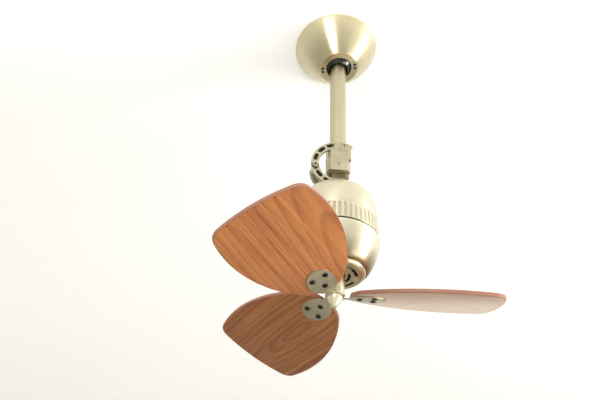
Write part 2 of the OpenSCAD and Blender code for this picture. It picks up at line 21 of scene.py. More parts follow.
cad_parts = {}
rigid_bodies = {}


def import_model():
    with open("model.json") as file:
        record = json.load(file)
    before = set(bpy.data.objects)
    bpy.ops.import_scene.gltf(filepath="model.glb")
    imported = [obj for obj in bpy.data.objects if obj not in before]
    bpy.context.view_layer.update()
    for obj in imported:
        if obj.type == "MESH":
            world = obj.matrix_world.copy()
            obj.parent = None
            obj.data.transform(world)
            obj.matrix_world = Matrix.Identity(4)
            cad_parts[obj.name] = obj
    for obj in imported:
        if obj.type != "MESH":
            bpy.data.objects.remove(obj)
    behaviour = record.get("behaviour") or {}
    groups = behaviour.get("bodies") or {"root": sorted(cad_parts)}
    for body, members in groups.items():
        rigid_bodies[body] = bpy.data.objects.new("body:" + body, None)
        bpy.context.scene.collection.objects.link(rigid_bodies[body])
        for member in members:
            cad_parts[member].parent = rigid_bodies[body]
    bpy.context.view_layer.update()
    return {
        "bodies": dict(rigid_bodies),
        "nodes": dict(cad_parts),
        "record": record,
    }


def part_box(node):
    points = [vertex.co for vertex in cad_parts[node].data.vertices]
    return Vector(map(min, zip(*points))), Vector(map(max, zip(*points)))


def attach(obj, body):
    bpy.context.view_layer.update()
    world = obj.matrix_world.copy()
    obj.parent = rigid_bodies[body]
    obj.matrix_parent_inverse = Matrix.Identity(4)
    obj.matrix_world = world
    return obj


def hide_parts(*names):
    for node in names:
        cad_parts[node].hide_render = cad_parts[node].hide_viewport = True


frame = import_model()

MM = 0.001
print("bodies:", ", ".join(frame["bodies"]))

# %% [markdown]
# ## Where things are
#
# Three places matter on a fan like this: the ceiling face, the middle of the hanger
# ball and the tilt pivot. They could be typed in again, but the frame's record states
# all three, so they are read from it and can't drift from the joints.

# %% Places
def find_joint(name):
    for joint in frame["record"]["behaviour"]["joints"]:
        if joint["name"] == name:
            return joint
    raise KeyError(name)


ball = Vector(find_joint("slope_swing")["pos_m"]) / MM
slope_axis = Vector(find_joint("slope_swing")["axis"])
pivot = Vector(find_joint("head_tilt")["pos_m"]) / MM
spin_axis = Vector(find_joint("rotor_spin")["axis"])
up = -ball.normalized()
head_lean = math.atan2(spin_axis.x, spin_axis.z)

on_ceiling = Matrix((slope_axis, up.cross(slope_axis), up)).transposed().to_4x4()
at_ball = Matrix.Translation(ball * MM)
at_pivot = Matrix.Translation(pivot * MM)
at_head = at_pivot @ Matrix.Rotation(head_lean, 4, "Y")
print("ball (mm):", [round(v, 2) for v in ball], " pivot (mm):", [round(v, 2) for v in pivot])
print("ceiling slope:", round(math.degrees(up.angle(Vector((0, 0, 1)))), 2),
      " head lean:", round(math.degrees(head_lean), 2), "degrees")

# %% [markdown]
# ## The camera
#
# The camera stands low in front of the fan and looks up. A camera could be aimed by
# eye, but then no outline would match. Its place and lens come from the outlines of
# the canopy, the rod, the head and the three blades, as seen from the tilt pivot.

# %% Camera
CAMERA_FROM_PIVOT = Vector((-139.2, -981.7, -786.6))
CAMERA_LENS = 50.98
SENSOR_WIDTH = 36.0
right = Vector((0.9942, -0.1046, 0.0263)).normalized()
forward = Vector((0.0688, 0.8026, 0.5926)).normalized()
above = right.cross(forward).normalized()
right = forward.cross(above)
camera_data = bpy.data.cameras.new("camera")
camera_data.lens = CAMERA_LENS
camera_data.sensor_width = SENSOR_WIDTH
camera_data.clip_start = 0.01
camera = bpy.data.objects.new("camera", camera_data)
bpy.context.scene.collection.objects.link(camera)
camera.matrix_world = (Matrix.Translation((pivot + CAMERA_FROM_PIVOT) * MM)
                       @ Matrix((right, above, -forward)).transposed().to_4x4())
bpy.context.scene.camera = camera
print("camera (mm):", [round(v / MM, 1) for v in camera.matrix_world.translation])

# %% [markdown]
# ## A small wrapper for shader nodes
#
# Every finish below is a graph of nodes. Nodes could be made and linked one by one,
# which takes many lines. This wrapper makes a node, sets its options and fills or
# links its inputs in one call, so a finish reads like a recipe.

# %% Shader graph wrapper
class Graph:
    def __init__(self, name):
        self.material = bpy.data.materials.new(name)
        self.material.use_nodes = True
        self.tree = self.material.node_tree
        self.shader = self.tree.nodes["Principled BSDF"]

    def put(self, socket, value):
        """Links a node's output to the socket, or sets the socket. None leaves it alone."""
        if isinstance(value, bpy.types.NodeSocket):
            self.tree.links.new(value, socket)
        elif socket.type == "RGBA" and value is not None:
            socket.default_value = (*value, 1.0)
        elif value is not None:
            socket.default_value = value

    def node(self, kind, inputs=None, out=0, **options):
        node = self.tree.nodes.new(kind)
        for key, value in options.items():
            setattr(node, key, value)
        for key, value in (inputs or {}).items():
            self.put(node.inputs[key], value)
        return node.outputs[out]

    def math(self, operation, a, b=None):
        return self.node("ShaderNodeMath", {0: a, 1: b}, operation=operation)

    def times(self, a, b):
        return self.math("MULTIPLY", a, b)

    def weighed(self, *parts):
        """The sum of (value, weight) pairs."""
        total = self.times(*parts[0])
        for value, weight in parts[1:]:
            total = self.math("ADD", total, self.times(value, weight))
        return total

    def place(self, made_in=None):
        """The piece's own coordinates, or those of the frame its shape was made in."""
        here = self.node("ShaderNodeTexCoord", out="Object")
        if made_in is None:
            return here
        back = made_in.inverted()
        return self.node("ShaderNodeMapping", {"Vector": here, "Location": back.to_translation(),
                                               "Rotation": back.to_euler()})

    def split(self, vector):
        node = self.tree.nodes.new("ShaderNodeSeparateXYZ")
        self.put(node.inputs[0], vector)
        return node.outputs["X"], node.outputs["Y"], node.outputs["Z"]

    def join(self, x, y, z):
        return self.node("ShaderNodeCombineXYZ", {0: x, 1: y, 2: z})

    def noise(self, vector, scale, detail=3.0, rough=0.55):
        return self.node("ShaderNodeTexNoise", {"Vector": vector, "Scale": scale, "Detail": detail,
                                                "Roughness": rough})

    def ramp(self, value, *stops):
        """Stops are (place, colour). A single number stands for a grey."""
        node = self.tree.nodes.new("ShaderNodeValToRGB")
        elements = node.color_ramp.elements
        while len(elements) < len(stops):
            elements.new(0.5)
        for element, (at, colour) in zip(elements, stops):
            red_green_blue = colour if isinstance(colour, tuple) else (colour,) * 3
            element.position = at
            element.color = (*red_green_blue, 1.0)
        self.put(node.inputs[0], value)
        return node.outputs[0]

    def spread(self, value, low, high, a, b):
        """Moves the range low to high onto the range a to b."""
        return self.node("ShaderNodeMapRange", {0: value, 1: low, 2: high, 3: a, 4: b})

    def mix(self, factor, a, b, blend="MIX"):
        """Two colours mixed. Inputs 6 and 7 and output 2 are the node's colour sockets."""
        return self.node("ShaderNodeMix", {0: factor, 6: a, 7: b}, out=2, data_type="RGBA",
                         blend_type=blend)

    def bump(self, height, distance_mm, strength):
        return self.node("ShaderNodeBump", {"Height": height, "Distance": distance_mm * MM,
                                            "Strength": strength})

    def finish(self, base, rough, normal=None, **sockets):
        """Fills the shader. Other sockets are given by name, with _ for each space."""
        self.put(self.shader.inputs["Base Color"], base)
        self.put(self.shader.inputs["Roughness"], rough)
        self.put(self.shader.inputs["Normal"], normal)
        for key, value in sockets.items():
            self.put(self.shader.inputs[key.replace("_", " ")], value)
        return self.material


print("graph tools:", ", ".join(name for name in vars(Graph) if not name.startswith("_")))


# %% Two small helpers
def around(g):
    """The plain place, then radius, angle and height about the object's own Z axis."""
    place = g.place()
    x, y, z = g.split(place)
    radius = g.node("ShaderNodeVectorMath", {0: g.join(x, y, 0.0)}, out="Value", operation="LENGTH")
    return place, radius, g.math("ARCTAN2", y, x), z


def toned(colour, factor):
    """The colour made darker by a factor below 1, or lighter by one above 1."""
    return tuple(v * factor for v in colour)


print("a colour at half strength:", toned((0.8, 0.6, 0.4), 0.5))

# %% [markdown]
# ## Brushed brass
#
# The canopy, the tube and the head's shells are pale brass, brushed while they turn
# on a lathe, under a clear coat. A scratch picture could be wrapped round them, but
# it would need unwrapping. Noise that is drawn out round the axis gives the same fine
# rings at any size, and an anisotropic shine stretches the highlights across them.
# The parts of a real fan never match exactly, and each tone is also set lighter or darker for how the part is
# lit where it hangs, which is painted light and shade.

# %% Brushed metal
COAT_WEIGHT, COAT_ROUGHNESS = 0.5, 0.22


def brushed(name, base, dark, rough, anisotropic, metallic=1.0, painted_reflection=None):
    """Brushed metal. The fine lines run round the axis.

    `painted_reflection` is (from_z_m, to_z_m, tone, amount): between the heights the metal is darkened
    towards the tone, a painted dark reflection with shade.
    """
    g = Graph(name)
    place, radius, angle, z = around(g)
    lines = g.join(radius, g.times(angle, 0.0006), z)
    fine = g.noise(lines, 2600.0, 2.0, 0.6)
    wide = g.noise(lines, 420.0, 3.0, 0.6)
    cloud = g.noise(place, 22.0, 3.0, 0.5)
    brush = g.weighed((fine, 0.6), (wide, 0.4))
    tone = g.weighed((brush, 0.7), (cloud, 0.3))
    colour = g.ramp(tone, (0.30, dark), (0.62, base))
    if painted_reflection:
        from_z_m, to_z_m, stain, amount = painted_reflection
        # The tone is painted: a dark reflection of the blades, with shade near the cap.
        colour = g.mix(g.spread(z, from_z_m, to_z_m, 0.0, amount), colour, stain)
    tangent = g.node("ShaderNodeTangent", direction_type="RADIAL", axis="Z")
    return g.finish(colour, g.spread(tone, 0.3, 0.7, rough + 0.07, rough - 0.05), g.bump(brush, 0.02, 0.5),
                    Metallic=metallic, Anisotropic=anisotropic, Anisotropic_Rotation=0.25, Tangent=tangent,
                    Coat_Weight=COAT_WEIGHT, Coat_Roughness=COAT_ROUGHNESS)


# Painted dark reflection and shade on the lower shell just above the cap: from and to heights (m), tone and
# amount.
DARK_REFLECTION_NEAR_CAP = (-0.152, -0.175, (0.23, 0.175, 0.075), 0.78)
# Tones are set lighter or darker for how each part is lit: painted light and shade.
brass_turned = brushed("brushed brass turned", (0.76, 0.685, 0.45), (0.64, 0.57, 0.36), 0.33, 0.80)
brass_shell = brushed("brushed brass shell", (0.68, 0.63, 0.47), (0.58, 0.53, 0.38), 0.36, 0.55)
brass_front = brushed("brushed brass front shell", (0.74, 0.69, 0.51), (0.64, 0.59, 0.42), 0.36, 0.55,
                      painted_reflection=DARK_REFLECTION_NEAR_CAP)
brass_tube = brushed("brushed brass tube", (0.53, 0.48, 0.325), (0.45, 0.405, 0.27), 0.33, 0.35)
# A darker copy of the brass for the groove faces: painted shade.
brass_groove_shade = brushed("brushed brass grooves", (0.54, 0.495, 0.35), (0.45, 0.41, 0.28), 0.42, 0.3)
pale_nut = brushed("pale satin nut", (0.88, 0.84, 0.64), (0.74, 0.70, 0.50), 0.30, 0.2, metallic=0.45)
print("brushed finishes:", len(bpy.data.materials))

# %% [markdown]
# ## Castings, plated steel and plastics
#
# The collar, the knuckle and the blade plate are castings in the same brass, but
# satin. The hidden sheet parts are zinc plated, and the screws are blackened. One
# material with other colours would do for all, but castings have an orange-peel skin,
# plating has small crystals and plastic has a fine grain, so each kind has its own.

# %% Castings and plated steel
def cast_metal(name, base, dark, rough=0.36):
    """Satin castings: a faint orange-peel skin and slightly darker, rougher patches."""
    g = Graph(name)
    place = g.place()
    skin = g.noise(place, 900.0, 3.0, 0.6)
    cloud = g.noise(place, 60.0, 4.0, 0.55)
    colour = g.mix(g.spread(cloud, 0.35, 0.65, 0.0, 1.0), dark, base)
    return g.finish(colour, g.spread(cloud, 0.3, 0.7, rough + 0.08, rough - 0.04),
                    g.bump(skin, 0.05, 0.35), Metallic=1.0)


def plated(name, base, rough, grain=260.0):
    """Plated sheet steel with a mottled crystal look."""
    g = Graph(name)
    place = g.place()
    cells = g.node("ShaderNodeTexVoronoi", {"Vector": place, "Scale": grain}, out="Color")
    spots = g.noise(place, 90.0, 4.0, 0.6)
    sheet = g.mix(g.spread(spots, 0.3, 0.7, 0.0, 1.0), toned(base, 0.86), base)
    colour = g.mix(0.10, sheet, cells, "OVERLAY")
    return g.finish(colour, g.spread(spots, 0.3, 0.7, rough + 0.1, rough - 0.05),
                    g.bump(spots, 0.03, 0.3), Metallic=1.0)


brass_cast = cast_metal("satin cast brass", (0.50, 0.455, 0.32), (0.41, 0.37, 0.26))
brass_shade = cast_metal("satin cast brass of the knuckle", (0.39, 0.35, 0.24), (0.31, 0.275, 0.19))
brass_plate = cast_metal("satin brass plate", (0.62, 0.56, 0.41), (0.50, 0.45, 0.32))
black_steel = cast_metal("blackened screw steel", (0.075, 0.06, 0.05), (0.035, 0.028, 0.024), 0.38)
zinc = plated("zinc plated steel", (0.55, 0.56, 0.58), 0.34)
bare_steel = plated("ground steel", (0.56, 0.56, 0.57), 0.26, 700.0)
print("metal finishes:", len(bpy.data.materials))


# %% Plastics and rubber
def moulded(name, base, rough, coat=0.0, grain_mm=0.03, specks=0.08):
    """Moulded plastic, rubber or enamel with a fine grain and slight tone changes."""
    g = Graph(name)
    place = g.place()
    grain = g.noise(place, 1400.0, 2.0, 0.6)
    cloud = g.noise(place, 45.0, 4.0, 0.6)
    light = tuple(v * (1.0 + specks) + 0.004 for v in base)
    colour = g.mix(g.spread(cloud, 0.3, 0.7, 0.0, 1.0), toned(base, 1.0 - specks), light)
    return g.finish(colour, g.spread(cloud, 0.3, 0.7, rough + 0.04, rough - 0.03),
                    g.bump(grain, grain_mm, 0.4), Coat_Weight=coat, Coat_Roughness=0.08)


black_gloss = moulded("glossy black moulding", (0.012, 0.011, 0.013), 0.16, 0.7, 0.01)
dark_gap = moulded("shadow gap", (0.018, 0.014, 0.008), 0.75)
rubber = moulded("black rubber", (0.022, 0.021, 0.020), 0.72, 0.0, 0.08)
sleeve = moulded("lead sleeving", (0.03, 0.03, 0.032), 0.55, 0.0, 0.05)
white_block = moulded("off-white moulding", (0.72, 0.71, 0.66), 0.42, 0.1, 0.03, 0.04)
can_grey = moulded("dark grey can", (0.07, 0.07, 0.08), 0.38, 0.2, 0.02)
print("finishes so far:", len(bpy.data.materials))

# %% [markdown]
# ## Turned pieces
#
# A canopy or a shell is spun or turned, so it is the same all round. It could be a
# cylinder that is pushed about, but a profile that is swept round the axis says what
# the piece is. Each corner of a profile may carry a fillet, so no edge is razor sharp.

# %% Make and keep a piece
def new_object(name, mesh, matrix, material):
    piece = bpy.data.objects.new(name, mesh)
    bpy.context.scene.collection.objects.link(piece)
    piece.matrix_world = matrix
    for one in (material if isinstance(material, list) else [material]):
        mesh.materials.append(one)
    return piece


def keep(piece, body, slot, *nodes):
    """Rides the piece on its body and hides the nodes it stands for. The slot is not used."""
    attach(piece, body)
    if nodes:
        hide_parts(*nodes)
    print("made %s for %s: %d faces" % (piece.name, body, len(piece.data.polygons)))


def smooth(mesh, angle):
    """Smooth shading, except across edges that are sharper than the angle."""
    mesh.polygons.foreach_set("use_smooth", [True] * len(mesh.polygons))
    mesh.set_sharp_from_angle(angle=math.radians(angle))


def mesh_from(work, name, face_outward=True):
    """The finished mesh of a bmesh. A closed one has its faces turned outward."""
    if face_outward:
        bmesh.ops.recalc_face_normals(work, faces=work.faces[:])
    mesh = bpy.data.meshes.new(name)
    work.to_mesh(mesh)
    work.free()
    return mesh


print("a piece can ride on:", ", ".join(frame["bodies"]))


# %% Fillets and turning
def fillet(points, steps=4):
    """Points are (r, z) or (r, z, fillet). Each filleted corner becomes a small arc."""
    out = []
    for i, point in enumerate(points):
        here = Vector(point[:2])
        if len(point) < 3:
            out.append(here)
            continue
        before = Vector(points[i - 1][:2]) - here
        after = Vector(points[(i + 1) % len(points)][:2]) - here
        reach = min(point[2], before.length * 0.49, after.length * 0.49)
        a = here + before.normalized() * reach
        b = here + after.normalized() * reach
        for t in [j / steps for j in range(steps + 1)]:
            out.append(a * (1 - t) ** 2 + here * 2 * t * (1 - t) + b * t ** 2)
    return out


def ring(work, radius, z, count):
    """A ring of vertices, or one vertex many times where the radius is nought."""
    if radius < 1e-4:
        return [work.verts.new((0, 0, z * MM))] * count
    turns = [math.tau * s / count for s in range(count)]
    return [work.verts.new((radius * MM * math.cos(a), radius * MM * math.sin(a), z * MM)) for a in turns]


def turned(name, profile, matrix, material, segments=144, closed=True):
    """Spins a profile of (r, z) points about the local Z axis."""
    work = bmesh.new()
    rings = [ring(work, p.x, p.y, segments) for p in fillet(profile)]
    following = rings[1:] + rings[:1] if closed else rings[1:]
    for a, b in zip(rings, following):
        for s in range(segments):
            t = (s + 1) % segments
            corners = list(dict.fromkeys((a[s], a[t], b[t], b[s])))
            if len(corners) > 2:
                work.faces.new(corners)
    mesh = mesh_from(work, name)
    smooth(mesh, 32)
    return new_object(name, mesh, matrix, material)


print("a filleted corner has", len(fillet([(0, 0), (5, 0, 1), (5, 5)])) - 2, "points")

# %% [markdown]
# ## The canopy
#
# The canopy is one spun bowl with a flat ring round the hole. Its side is one flat
# arc from the ring up to the rim. A subdivided surface would swell near the ring, so
# the arc is worked out from its two ends and its bulge, as in the CAD.

# %% Canopy
CANOPY_R, CANOPY_WALL = 67.5, 1.2
RING_Z, RING_R, RING_HOLE_R = -56.0, 30.6, 20.3
bowl_low = Vector((RING_R + 0.6, RING_Z + 1.2))
bowl_high = Vector((CANOPY_R, -3.0))
BULGE = 3.2
chord = bowl_high - bowl_low
bowl_bend = (chord.length ** 2 / 4 + BULGE ** 2) / (2 * BULGE)
sideways = Vector((chord.y, -chord.x)).normalized()
bowl_centre = (bowl_low + bowl_high) / 2 - sideways * (bowl_bend - BULGE)


def bowl_side(radius, steps=40):
    """The arc of the bowl's side at a radius about the arc's own centre."""
    start, end = [math.atan2(p.y - bowl_centre.y, p.x - bowl_centre.x) for p in (bowl_low, bowl_high)]
    turns = [start + (end - start) * i / steps for i in range(steps + 1)]
    return [(bowl_centre.x + radius * math.cos(a), bowl_centre.y + radius * math.sin(a)) for a in turns]


canopy_profile = ([(RING_HOLE_R, RING_Z, 0.5), (RING_R - 0.4, RING_Z, 0.9),
                   (RING_R + 0.2, RING_Z + 1.05, 0.3)]
                  + bowl_side(bowl_bend)
                  + [(CANOPY_R, -0.02, 0.5), (CANOPY_R - CANOPY_WALL, -0.02, 0.3)]
                  + bowl_side(bowl_bend - CANOPY_WALL)[::-1]
                  + [(RING_R - 0.8, RING_Z + CANOPY_WALL, 0.3), (RING_HOLE_R, RING_Z + CANOPY_WALL, 0.4)])
canopy = turned("canopy", canopy_profile, on_ceiling, brass_turned, 192)
keep(canopy, "ceiling_mount", "brushed_brass", "canopy")

# %% [markdown]
# ## Small screws
#
# Two pairs of small dark screws sit on the canopy's ring. A texture could paint the
# cross on them, but a real recess catches the light from every side. So the heads are
# turned, and a cross-shaped prism is cut out of each.

# %% Outlines, cuts and joins
def prism(name, outline, z0, z1, matrix, material):
    """An outline in the local XY plane, pulled from z0 to z1."""
    work = bmesh.new()
    low = [work.verts.new((x * MM, y * MM, z0 * MM)) for x, y in outline]
    high = [work.verts.new((x * MM, y * MM, z1 * MM)) for x, y in outline]
    work.faces.new(low[::-1])
    work.faces.new(high)
    for i in range(len(outline)):
        j = (i + 1) % len(outline)
        work.faces.new((low[i], low[j], high[j], high[i]))
    return new_object(name, mesh_from(work, name), matrix, material)


def bake_modifiers(piece):
    """Replaces the piece's mesh by what its modifiers make of it."""
    graph = bpy.context.evaluated_depsgraph_get()
    made = bpy.data.meshes.new_from_object(piece.evaluated_get(graph))
    old = piece.data
    piece.modifiers.clear()
    piece.data = made
    made.name = old.name
    bpy.data.meshes.remove(old)


def combine(piece, tools, operation):
    """Cuts the tools' solids out of the piece, or joins them to it."""
    for tool in tools:
        change = piece.modifiers.new("solid", "BOOLEAN")
        change.operation = operation
        change.solver = "EXACT"
        change.object = tool
    bpy.context.view_layer.update()
    bake_modifiers(piece)
    for tool in tools:
        bpy.data.objects.remove(tool)


def soft_edges(piece, width, segments, angle, side_material=-1):
    """Rounds the edges that are sharper than the angle."""
    bevel = piece.modifiers.new("soft edges", "BEVEL")
    bevel.width = width * MM
    bevel.segments = segments
    bevel.angle_limit = math.radians(angle)
    bevel.material = side_material
    bake_modifiers(piece)


def merged(name, pieces, material):
    """Several pieces of one finish as one object in the shared frame."""
    work = bmesh.new()
    for piece in pieces:
        piece.data.transform(piece.matrix_world)
        work.from_mesh(piece.data)
        bpy.data.objects.remove(piece)
    mesh = mesh_from(work, name, face_outward=False)
    smooth(mesh, 38)
    return new_object(name, mesh, Matrix.Identity(4), material)


print("tools for cut, joined and softened pieces are ready")


# %% A screw with a cross recess
def recessed_screw(name, matrix, material, head_r, dome, shank_r, length):
    """A button screw. Its head faces down the local -Z and has a cross recess."""
    screw = turned(name, [(0, -dome), (head_r * 0.55, -dome * 0.93, 0.3), (head_r * 0.88, -dome * 0.5, 0.2),
                          (head_r, 0.0, 0.1), (shank_r, 0.0), (shank_r, length, 0.3), (0, length)],
                   matrix, material, 36, closed=False)
    arm, wide = head_r * 0.52, head_r * 0.15
    plus = [(arm, -wide), (arm, wide), (wide, wide), (wide, arm), (-wide, arm), (-wide, wide),
            (-arm, wide), (-arm, -wide), (-wide, -wide), (-wide, -arm), (wide, -arm), (wide, -wide)]
    combine(screw, [prism("recess", plus, -dome - 1, -dome * 0.3, matrix, material)], "DIFFERENCE")
    return screw


SMALL_SCREW = dict(head_r=2.6, dome=0.98, shank_r=1.45, length=4.0)
print("small screw (mm):", SMALL_SCREW)

# %% Canopy screws
SCREW_ROW_R, PAIR_HEADING, PAIR_HALF = 26.4, -32, 7
small_screws = []
for opposite in (0, 180):
    for split in (-PAIR_HALF, PAIR_HALF):
        turn = math.radians(PAIR_HEADING + opposite + split)
        on_row = Vector((SCREW_ROW_R * math.cos(turn), SCREW_ROW_R * math.sin(turn), RING_Z))
        spot = on_ceiling @ Matrix.Translation(on_row * MM)
        small_screws.append(recessed_screw("canopy_screw", spot, black_gloss, **SMALL_SCREW))
keep(merged("canopy_screws", small_screws, black_gloss), "ceiling_mount", "dark_steel", "canopy_screws")

# %% [markdown]
# ## Ball and downrod
#
# Through the ring one sees the glossy black ball that lets the fan hang straight down
# from a sloped ceiling. A sphere primitive would do from afar, but the real ball is
# cut flat above and below and bored for the tube, so it is turned like the rest.

# %% Hanger ball
BALL_R, BALL_LOW, BALL_HIGH, BORE_R = 26.0, -19.5, 14.0, 13.3
ball_heights = [BALL_LOW + (BALL_HIGH - BALL_LOW) * i / 32 for i in range(33)]
ball_arc = [(math.sqrt(BALL_R ** 2 - z * z), z) for z in ball_heights]
ball_profile = ([(BORE_R + 2.2, BALL_LOW, 0.3), (*ball_arc[0], 0.5)] + ball_arc[1:-1]
                + [(*ball_arc[-1], 0.5), (BORE_R + 1.4, BALL_HIGH, 0.3), (BORE_R, 0.0)])
keep(turned("hanger_ball", ball_profile, at_ball, black_gloss), "hanger", "black_plastic", "hanger_ball")

# %% Downrod
ROD_R, ROD_WALL, ROD_TOP, ROD_LOW = 12.7, 1.6, 20.0, -212.4
rod_profile = [(ROD_R, ROD_LOW, 0.3), (ROD_R, ROD_TOP, 0.5), (ROD_R - ROD_WALL, ROD_TOP, 0.3),
               (ROD_R - ROD_WALL, ROD_LOW, 0.3)]
keep(turned("downrod", rod_profile, at_ball, brass_tube, 128), "rod", "brushed_brass", "downrod")

# %% [markdown]
# ## The mount inside the canopy
#
# A bracket, a wiring block, a rubber ring and the leads sit inside the canopy. Their
# CAD solids already have the right forms, so they aren't drawn again. Metal and
# plastic parts get a copy with rounded edges, and soft ones only a better finish.

# %% Softened copies of CAD nodes
FLAT_WITHIN = 4.0
ROUND_ABOVE = 30.0


def soft_node(node, width, material, body, slot, segments=2):
    """A copy of a CAD node's mesh with its flat faces cleaned and its edges rounded."""
    mesh = frame["nodes"][node].data.copy()
    mesh.name = node
    mesh.materials.clear()
    work = bmesh.new()
    work.from_mesh(mesh)
    bmesh.ops.remove_doubles(work, verts=work.verts[:], dist=2e-6)
    bmesh.ops.dissolve_limit(work, angle_limit=math.radians(FLAT_WITHIN), use_dissolve_boundaries=False,
                             verts=work.verts[:], edges=work.edges[:], delimit=set())
    work.to_mesh(mesh)
    work.free()
    piece = new_object(node, mesh, Matrix.Identity(4), material)
    soft_edges(piece, width, segments, ROUND_ABOVE)
    smooth(piece.data, 38)
    keep(piece, body, slot, node)
    return piece


def repaint(node, material):
    """A CAD node whose shape is right keeps its mesh and gets a better finish."""
    data = frame["nodes"][node].data
    data.materials.clear()
    data.materials.append(material)
    print("painted %s: %s" % (node, material.name))


soft_node("ceiling_bracket", 0.35, zinc, "ceiling_mount", "plated_steel")
soft_node("terminal_block", 0.5, white_block, "ceiling_mount", "white_plastic")
soft_node("ball_pin", 0.4, bare_steel, "rod", "plated_steel")
repaint("seat_pad", rubber)
repaint("rod_leads", sleeve)

# %% [markdown]
# ## The tilt joint
#
# The collar, its fork and the slotted arc are one casting, and the knuckle with its
# arm belongs to the head. A casting has no sharp edge anywhere, so both get rounded
# edges in three steps. The knuckle is a shade darker, as it sits in the collar's shade.

# %% Collar, fork and knuckle
soft_node("tilt_yoke", 0.55, brass_cast, "rod", "cast_brass", segments=3)
soft_node("tilt_knuckle", 0.6, brass_shade, "fan_head", "cast_brass", segments=3)
soft_node("yoke_set_screw", 0.25, black_steel, "rod", "dark_steel")
soft_node("pivot_pin", 0.4, brass_cast, "rod", "plated_steel")
soft_node("pivot_nut", 0.5, black_steel, "rod", "dark_steel")

# %% [markdown]
# ## The lock screw and the slots
#
# The lock screw shows a light ring round a dark socket. The ring could be a piece of
# its own, but it is the screw's own edge. So the faces that reach as far as the ring
# take the light finish, and the socket and the washer take painted shade. The slots
# look black, since the arc is deep, and a dark strip at their back, painted shade,
# gives that look from every side.

# %% Lock screw
RING_INNER, RING_OUTER = 2.5, 4.5
lock = soft_node("lock_screw", 0.3, [brass_cast, dark_gap], "rod", "dark_steel")
lock_box = [Vector(corner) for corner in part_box("lock_screw")]
lock_middle = (lock_box[0] + lock_box[1]) / 2
for polygon in lock.data.polygons:
    offsets = [lock.data.vertices[v].co - lock_middle for v in polygon.vertices]
    reach = max(Vector((offset.x, offset.z)).length for offset in offsets) / MM
    # Index 1 is painted shade: the socket and the washer in the slot's shadow.
    polygon.material_index = 0 if RING_INNER < reach < RING_OUTER else 1
soft_node("lock_spacer", 0.3, bare_steel, "rod", "plated_steel")
print("light faces on the lock screw:", sum(p.material_index == 0 for p in lock.data.polygons))


# %% Slot shadow strip
def arc_points(radius, from_deg, to_deg, steps, centre=(0.0, 0.0)):
    turns = [math.radians(from_deg + (to_deg - from_deg) * i / steps) for i in range(steps + 1)]
    return [(centre[0] + radius * math.cos(a), centre[1] + radius * math.sin(a)) for a in turns]


SHADOW_STRIP_FROM, SHADOW_STRIP_TO = 77, 249
SHADOW_STRIP_OUT_R, SHADOW_STRIP_IN_R, SHADOW_STRIP_BACK, SHADOW_STRIP_FRONT = 39.4, 32.6, 9.7, 10.3
facing_front = at_pivot @ Matrix.Rotation(math.radians(90), 4, "X")
slot_shadow_outline = (arc_points(SHADOW_STRIP_OUT_R, SHADOW_STRIP_FROM, SHADOW_STRIP_TO, 60)
                  + arc_points(SHADOW_STRIP_IN_R, SHADOW_STRIP_TO, SHADOW_STRIP_FROM, 60))
# A dark strip behind the slots: painted shade for the deep arc.
slot_shadow = prism("slot_shadow_strip", slot_shadow_outline, SHADOW_STRIP_BACK, SHADOW_STRIP_FRONT, facing_front, dark_gap)
keep(slot_shadow, "rod", "dark_steel")

# %% [markdown]
# ## The head's shells
#
# The head is a deep drawn dome, a ribbed band and a lower shell. Drawn metal has a
# rounded quarter between the flat top and the straight side. A circle is too soft for
# it and a bevel too tight, so the quarter is a curve with a power: above 2 it grows
# squarer, and below 2 it grows flatter.

# %% Dome and lower shell
def quarter(r_a, z_a, r_b, z_b, power, steps):
    """The CAD's rounded quarter curve: along r at the first end, along z at the second."""
    turns = [math.radians(90 * i / steps) for i in range(steps + 1)]
    return [(r_a + (r_b - r_a) * math.sin(a) ** (2 / power),
             z_b + (z_a - z_b) * math.cos(a) ** (2 / power)) for a in turns]


WALL = 2.2
DOME_HOLE_R, DOME_FLAT_R, DOME_R, DOME_POWER = 9.2, 12.4, 57.5, 2.95
HEAD_TOP, BAND_TOP = -44.5, -97.7
dome_profile = ([(DOME_HOLE_R, HEAD_TOP - 0.02, 0.1)]
                + quarter(DOME_FLAT_R, HEAD_TOP, DOME_R, BAND_TOP, DOME_POWER, 56)[1:-1]
                + [(DOME_R, BAND_TOP, 0.25), (DOME_R - WALL, BAND_TOP, 0.2)]
                + quarter(DOME_FLAT_R, HEAD_TOP - WALL, DOME_R - WALL, BAND_TOP, DOME_POWER, 56)[-2:0:-1]
                + [(DOME_HOLE_R, HEAD_TOP - WALL - 0.02, 0.1)])
dome = turned("rear_housing", dome_profile, at_head, brass_shell, 192)
keep(dome, "fan_head", "brushed_brass", "rear_housing")

HEAD_R, MOUTH_R, SHELL_POWER = 61.0, 43.0, 1.5
SHELL_TOP, SHELL_TURN, MOUTH_Z = -128.85, -130.3, -178.0
shell_profile = ([(HEAD_R - WALL, SHELL_TOP, 0.2), (HEAD_R - 0.9, SHELL_TOP, 0.4),
                  (HEAD_R - 0.08, SHELL_TURN + 0.7, 0.3)]
                 + quarter(MOUTH_R, MOUTH_Z, HEAD_R, SHELL_TURN, SHELL_POWER, 40)[::-1]
                 + [(MOUTH_R - WALL + 0.1, MOUTH_Z, 0.3)]
                 + quarter(MOUTH_R - WALL, MOUTH_Z + 0.4, HEAD_R - WALL, SHELL_TURN, SHELL_POWER, 40)[1:])
lower_shell = turned("front_housing", shell_profile, at_head, brass_front, 192)
keep(lower_shell, "fan_head", "brushed_brass", "front_housing")

# %% [markdown]
# ## The ribbed band
#
# Forty-eight broad upright ribs run round the band, with a rounded groove between each
# two. A bump map would leave the outline round, and the real outline is notched. So
# each ring of the band is drawn with its grooves in it, and the grooves fade out at
# both ends. The groove faces take a darker finish: painted shade, as the grooves lie in shade.

